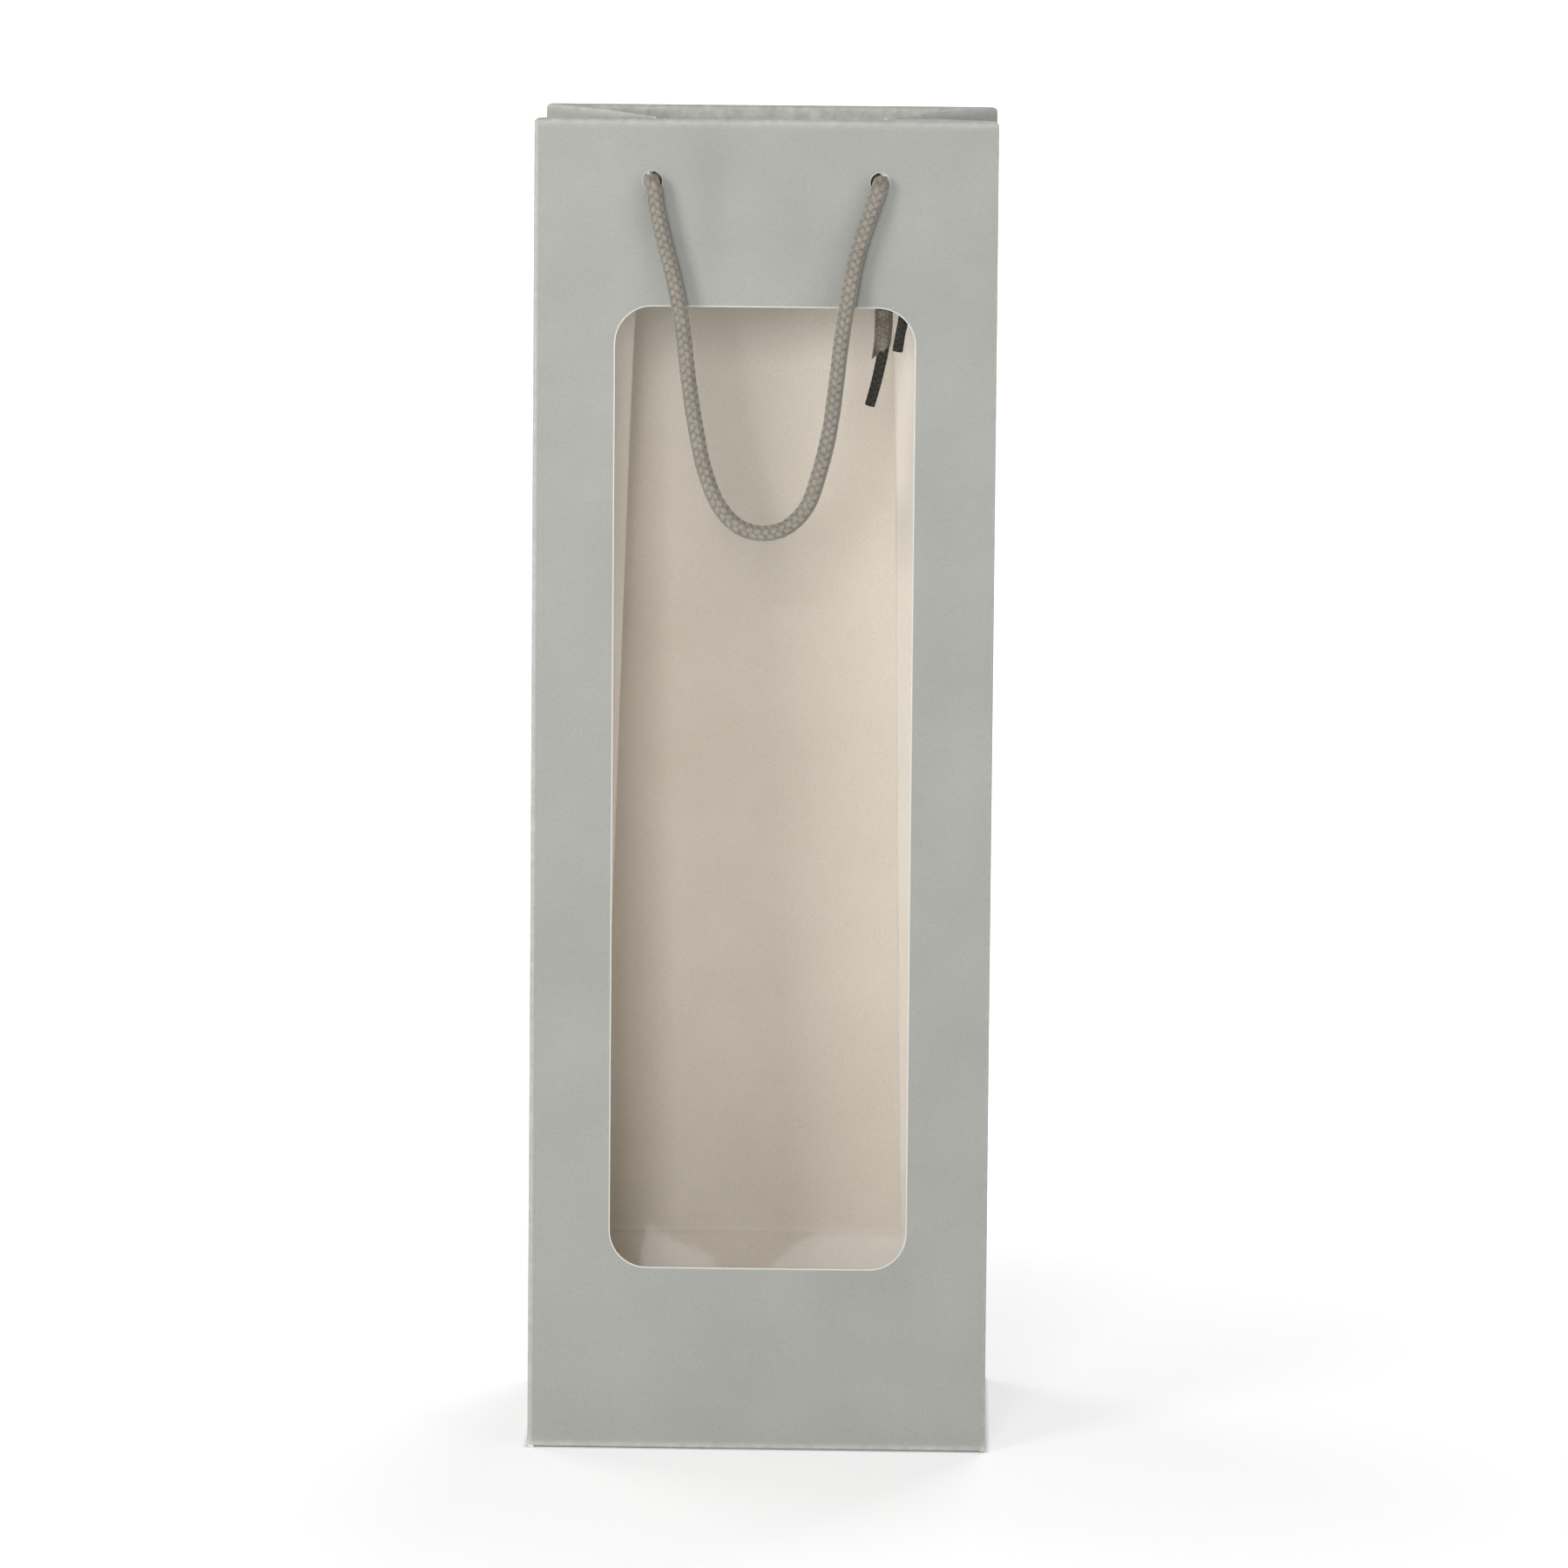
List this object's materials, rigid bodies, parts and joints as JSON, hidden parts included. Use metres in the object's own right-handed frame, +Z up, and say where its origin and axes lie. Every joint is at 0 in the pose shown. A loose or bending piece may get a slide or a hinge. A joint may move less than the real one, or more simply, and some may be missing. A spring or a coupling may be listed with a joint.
{
  "type": "bottle gift bag",
  "caption": "Tall folded paper gift bag for a bottle, with pinched side gussets, a clear front window, a turned-in hem and swinging rope handles.",
  "frame": {"origin": "centre of the underside, on the surface that the bag stands on", "axes": "+Z up, -Y towards the front panel with the window, +X to the right as seen from the front"},
  "size_m": [0.125, 0.0918, 0.36],
  "materials": {
    "outer_paper": "matt laminated card, warm light grey outside and cream inside, paler along the folds",
    "inner_paper": "uncoated cream reverse side of the card",
    "base_card": "cream lined board with plain cut edges",
    "reinforcing_card": "plain white card, hidden inside the hem",
    "window_film": "thin clear film with a soft gloss",
    "handle_cord": "knitted cord, greige, two rows of plaits showing",
    "inner_cord": "knitted cord, charcoal"
  },
  "bodies": {
    "bag": {"front_panel": "outer_paper", "back_panel": "outer_paper", "left_gusset_front_leaf": "outer_paper", "left_gusset_back_leaf": "outer_paper", "right_gusset_front_leaf": "outer_paper", "right_gusset_back_leaf": "outer_paper", "left_gusset_triangle": "outer_paper", "right_gusset_triangle": "outer_paper", "side_seam_flap": "inner_paper", "back_base_flap": "outer_paper", "front_base_flap": "outer_paper", "left_base_flap": "inner_paper", "right_base_flap": "inner_paper", "base_board": "base_card", "front_top_card": "reinforcing_card", "back_top_card": "reinforcing_card", "window_film": "window_film", "front_left_knot": "inner_cord", "front_right_knot": "inner_cord", "back_left_knot": "inner_cord", "back_right_knot": "inner_cord", "front_left_tail": "inner_cord", "front_right_tail": "inner_cord", "back_left_tail": "inner_cord", "back_right_tail": "inner_cord", "front_right_short_tail": "inner_cord"},
    "front_handle": {"front_handle_cord": "handle_cord"},
    "back_handle": {"back_handle_cord": "handle_cord"}
  },
  "joints": [
    {"name": "front_handle_swing", "type": "hinge", "parent": "bag", "child": "front_handle", "pos_m": [0, -0.03567, 0.3436], "axis": [-1, 0, 0], "range_deg": [0, 175]},
    {"name": "back_handle_swing", "type": "hinge", "parent": "bag", "child": "back_handle", "pos_m": [0, 0.03567, 0.3436], "axis": [1, 0, 0], "range_deg": [0, 175]}
  ]
}
